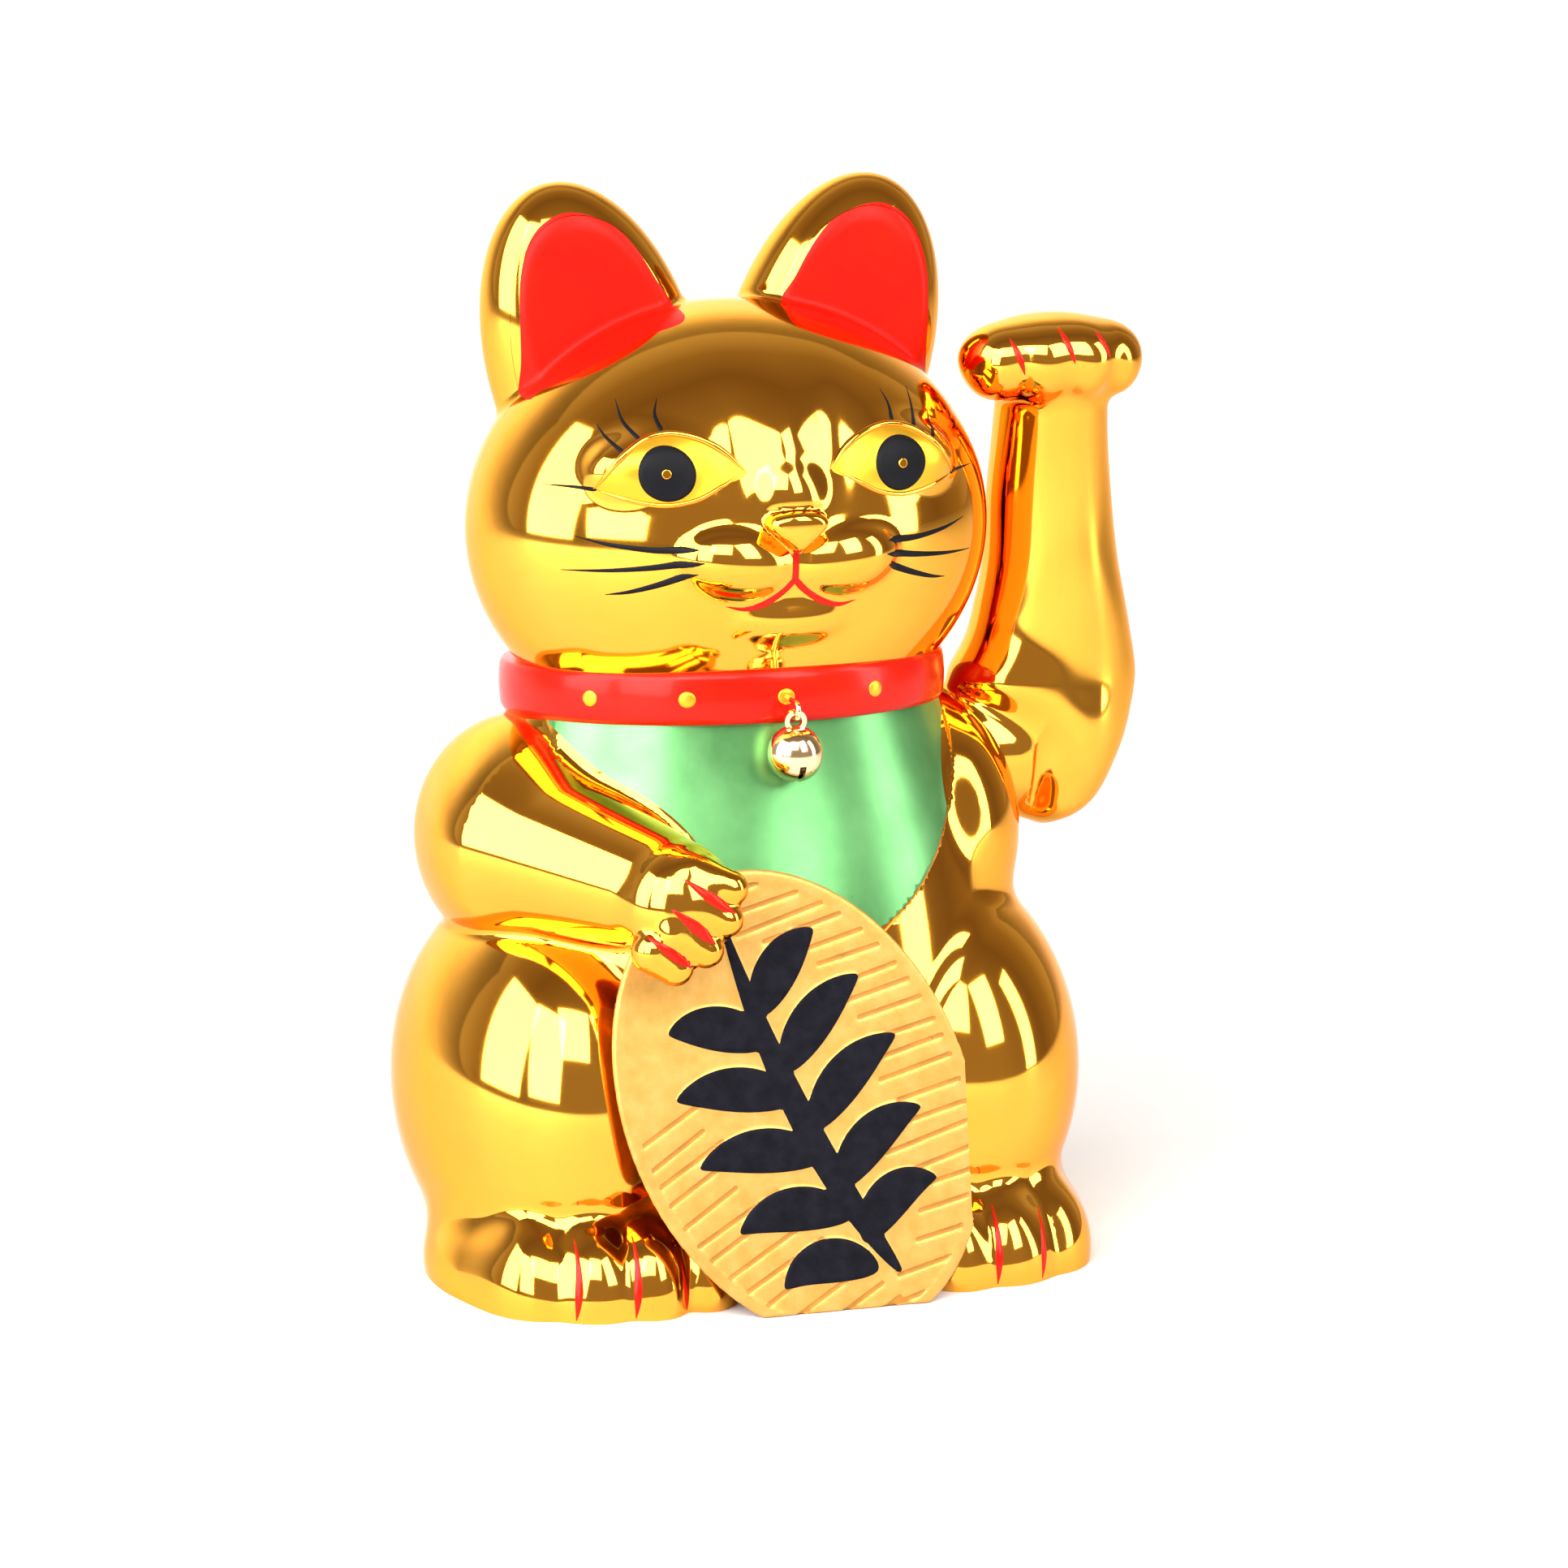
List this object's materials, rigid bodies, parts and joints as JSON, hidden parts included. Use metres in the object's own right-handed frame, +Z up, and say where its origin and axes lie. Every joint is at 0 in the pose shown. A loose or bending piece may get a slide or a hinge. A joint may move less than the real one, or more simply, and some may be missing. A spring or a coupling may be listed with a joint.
{
  "type": "beckoning cat figurine",
  "caption": "Hollow seated cat figurine with a raised arm that swings on a magnet-driven pendulum, holding an oval coin, with a small jingle bell on its collar.",
  "frame": {"origin": "centre of the base, on the surface that the figurine stands on", "axes": "+Z up along the height; the cat faces -Y; its raised arm is on +X"},
  "size_m": [0.1493, 0.1074, 0.199],
  "materials": {
    "gold_plastic": "vacuum-metallised mirror gold on moulded plastic",
    "coin_plastic": "satin pale gold plating on moulded plastic",
    "base_plastic": "moulded plastic, satin",
    "door_plastic": "moulded plastic, satin",
    "bell_brass": "polished",
    "steel": "zinc plated",
    "spring_steel": "nickel plated",
    "magnet": "dark, smooth",
    "cell_jacket": "printed jacket, gloss",
    "board": "solder-masked laminate",
    "bobbin": "natural nylon",
    "copper": "enamelled wire winding",
    "component": "moulded epoxy",
    "resistor": "lacquered",
    "switch_black": "matt",
    "lead_red": "insulated wire",
    "lead_black": "insulated wire",
    "lever_plastic": "natural"
  },
  "bodies": {
    "cat": {"front_shell": "gold_plastic", "rear_shell": "gold_plastic", "base_plate": "base_plastic", "base_screws": "steel", "koban_coin": "coin_plastic", "battery_cell": "cell_jacket", "contact_plate": "spring_steel", "contact_spring": "spring_steel", "circuit_board": "board", "board_screws": "steel", "coil_bobbin": "bobbin", "drive_coil": "copper", "transistor": "component", "capacitor": "component", "resistors": "resistor", "switch_housing": "switch_black", "lead_red": "lead_red", "lead_black": "lead_black", "lead_switch": "lead_black", "pivot_bracket": "steel", "bracket_screws": "steel", "bell_staple": "bell_brass"},
    "waving_arm": {"arm_front_half": "gold_plastic", "arm_rear_half": "gold_plastic", "arm_axle": "steel", "axle_clips": "spring_steel", "pendulum_lever": "lever_plastic", "counterweight": "steel", "pendulum_magnet": "magnet"},
    "battery_cover": {"battery_door": "door_plastic"},
    "switch": {"switch_slider": "switch_black"},
    "bell": {"bell_upper_half": "bell_brass", "bell_lower_half": "bell_brass", "bell_eyelet": "bell_brass"},
    "pellet": {"bell_pellet": "steel"}
  },
  "joints": [
    {"name": "arm_swing", "type": "hinge", "parent": "cat", "child": "waving_arm", "pos_m": [0.019, 0.004, 0.0885], "axis": [1, 0, 0], "range_deg": [-20, 20]},
    {"name": "door_lift", "type": "slide", "parent": "cat", "child": "battery_cover", "axis": [0, 0, -1], "range_m": [0, 0.03]},
    {"name": "switch_slide", "type": "slide", "parent": "cat", "child": "switch", "axis": [1, 0, 0], "range_m": [-0.0015, 0.0015]},
    {"name": "bell_swing", "type": "hinge", "parent": "cat", "child": "bell", "pos_m": [0, -0.0412, 0.1068], "axis": [0, 1, 0], "range_deg": [-25, 25]},
    {"name": "pellet_roll", "type": "hinge", "parent": "bell", "child": "pellet", "pos_m": [0, -0.0412, 0.1001], "axis": [0, 1, 0], "range_deg": [-50, 50]}
  ]
}
